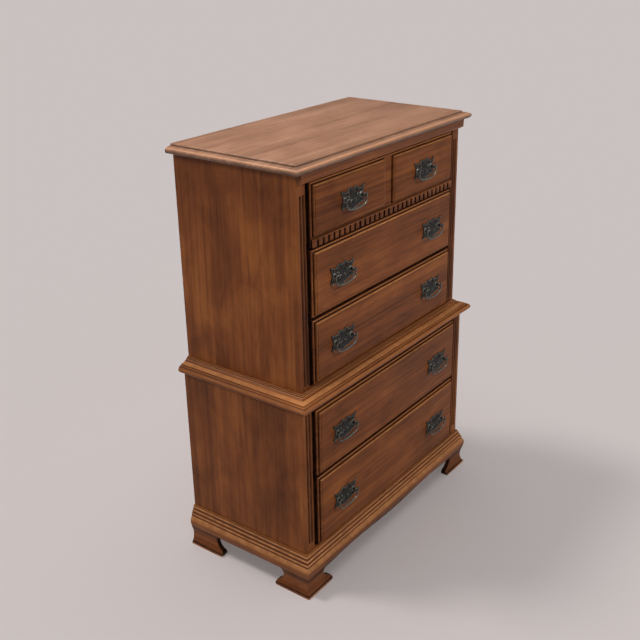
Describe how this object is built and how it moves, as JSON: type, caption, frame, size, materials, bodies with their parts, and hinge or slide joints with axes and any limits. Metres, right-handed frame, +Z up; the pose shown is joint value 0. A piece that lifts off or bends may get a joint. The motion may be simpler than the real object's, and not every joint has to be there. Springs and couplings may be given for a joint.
{
  "type": "chest of drawers",
  "caption": "Tall two-tier chest of drawers in stained maple: a narrow upper case on a wider lower one, bracket feet, batwing bail pulls on every drawer.",
  "frame": {"origin": "middle of the bounding box in X and Y, on the floor", "axes": "+Z up, the drawers open towards -Y, +X is to the right of a person facing them"},
  "size_m": [0.939, 0.489, 1.315],
  "materials": {
    "case_wood": "brown stained maple under satin lacquer, vertical grain with a cloudy figure, darker in the corners",
    "top_wood": "stained maple under satin lacquer, grain from side to side",
    "moulding_wood": "stained maple under satin lacquer, dark glaze in the grooves and worn lighter on the edges",
    "drawer_wood": "stained maple under satin lacquer, grain from side to side, dark glaze round the raised panel",
    "inside_wood": "plain unstained secondary wood, dull",
    "antique_metal": "brass with a near-black antique finish, worn silvery on the raised edges"
  },
  "bodies": {
    "case": {"top_board": "top_wood", "bed_moulding": "moulding_wood", "upper_left_side": "case_wood", "upper_right_side": "case_wood", "upper_back": "inside_wood", "upper_left_stile": "case_wood", "upper_right_stile": "case_wood", "upper_top_rail": "case_wood", "upper_divider_1": "inside_wood", "upper_divider_2": "inside_wood", "upper_bottom": "case_wood", "waist_moulding": "moulding_wood", "lower_top": "case_wood", "lower_left_side": "case_wood", "lower_right_side": "case_wood", "lower_back": "inside_wood", "lower_left_stile": "case_wood", "lower_right_stile": "case_wood", "lower_divider": "inside_wood", "lower_bottom": "case_wood", "base_front": "moulding_wood", "base_left": "moulding_wood", "base_right": "moulding_wood", "base_rear": "inside_wood"},
    "drawer_1": {"drawer_1_front": "drawer_wood", "drawer_1_box": "inside_wood", "drawer_1_bottom": "inside_wood", "dentil_strip": "drawer_wood", "pull_1_left_plate": "antique_metal", "pull_1_right_plate": "antique_metal"},
    "bail_1_left": {"pull_1_left_bail": "antique_metal"},
    "bail_1_right": {"pull_1_right_bail": "antique_metal"},
    "drawer_2": {"drawer_2_front": "drawer_wood", "drawer_2_box": "inside_wood", "drawer_2_bottom": "inside_wood", "pull_2_left_plate": "antique_metal", "pull_2_right_plate": "antique_metal"},
    "bail_2_left": {"pull_2_left_bail": "antique_metal"},
    "bail_2_right": {"pull_2_right_bail": "antique_metal"},
    "drawer_3": {"drawer_3_front": "drawer_wood", "drawer_3_box": "inside_wood", "drawer_3_bottom": "inside_wood", "pull_3_left_plate": "antique_metal", "pull_3_right_plate": "antique_metal"},
    "bail_3_left": {"pull_3_left_bail": "antique_metal"},
    "bail_3_right": {"pull_3_right_bail": "antique_metal"},
    "drawer_4": {"drawer_4_front": "drawer_wood", "drawer_4_box": "inside_wood", "drawer_4_bottom": "inside_wood", "pull_4_left_plate": "antique_metal", "pull_4_right_plate": "antique_metal"},
    "bail_4_left": {"pull_4_left_bail": "antique_metal"},
    "bail_4_right": {"pull_4_right_bail": "antique_metal"},
    "drawer_5": {"drawer_5_front": "drawer_wood", "drawer_5_box": "inside_wood", "drawer_5_bottom": "inside_wood", "pull_5_left_plate": "antique_metal", "pull_5_right_plate": "antique_metal"},
    "bail_5_left": {"pull_5_left_bail": "antique_metal"},
    "bail_5_right": {"pull_5_right_bail": "antique_metal"}
  },
  "joints": [
    {"name": "drawer_1_slide", "type": "slide", "parent": "case", "child": "drawer_1", "axis": [0, -1, 0], "range_m": [0, 0.32]},
    {"name": "bail_1_left_swing", "type": "hinge", "parent": "drawer_1", "child": "bail_1_left", "pos_m": [-0.189, -0.2205, 1.176], "axis": [-1, 0, 0], "range_deg": [0, 95]},
    {"name": "bail_1_right_swing", "type": "hinge", "parent": "drawer_1", "child": "bail_1_right", "pos_m": [0.189, -0.2205, 1.176], "axis": [-1, 0, 0], "range_deg": [0, 95]},
    {"name": "drawer_2_slide", "type": "slide", "parent": "case", "child": "drawer_2", "axis": [0, -1, 0], "range_m": [0, 0.32]},
    {"name": "bail_2_left_swing", "type": "hinge", "parent": "drawer_2", "child": "bail_2_left", "pos_m": [-0.243, -0.2205, 0.971], "axis": [-1, 0, 0], "range_deg": [0, 95]},
    {"name": "bail_2_right_swing", "type": "hinge", "parent": "drawer_2", "child": "bail_2_right", "pos_m": [0.243, -0.2205, 0.971], "axis": [-1, 0, 0], "range_deg": [0, 95]},
    {"name": "drawer_3_slide", "type": "slide", "parent": "case", "child": "drawer_3", "axis": [0, -1, 0], "range_m": [0, 0.32]},
    {"name": "bail_3_left_swing", "type": "hinge", "parent": "drawer_3", "child": "bail_3_left", "pos_m": [-0.242, -0.2205, 0.767], "axis": [-1, 0, 0], "range_deg": [0, 95]},
    {"name": "bail_3_right_swing", "type": "hinge", "parent": "drawer_3", "child": "bail_3_right", "pos_m": [0.242, -0.2205, 0.767], "axis": [-1, 0, 0], "range_deg": [0, 95]},
    {"name": "drawer_4_slide", "type": "slide", "parent": "case", "child": "drawer_4", "axis": [0, -1, 0], "range_m": [0, 0.32]},
    {"name": "bail_4_left_swing", "type": "hinge", "parent": "drawer_4", "child": "bail_4_left", "pos_m": [-0.265, -0.24, 0.492], "axis": [-1, 0, 0], "range_deg": [0, 95]},
    {"name": "bail_4_right_swing", "type": "hinge", "parent": "drawer_4", "child": "bail_4_right", "pos_m": [0.265, -0.24, 0.492], "axis": [-1, 0, 0], "range_deg": [0, 95]},
    {"name": "drawer_5_slide", "type": "slide", "parent": "case", "child": "drawer_5", "axis": [0, -1, 0], "range_m": [0, 0.32]},
    {"name": "bail_5_left_swing", "type": "hinge", "parent": "drawer_5", "child": "bail_5_left", "pos_m": [-0.265, -0.24, 0.259], "axis": [-1, 0, 0], "range_deg": [0, 95]},
    {"name": "bail_5_right_swing", "type": "hinge", "parent": "drawer_5", "child": "bail_5_right", "pos_m": [0.265, -0.24, 0.259], "axis": [-1, 0, 0], "range_deg": [0, 95]}
  ]
}
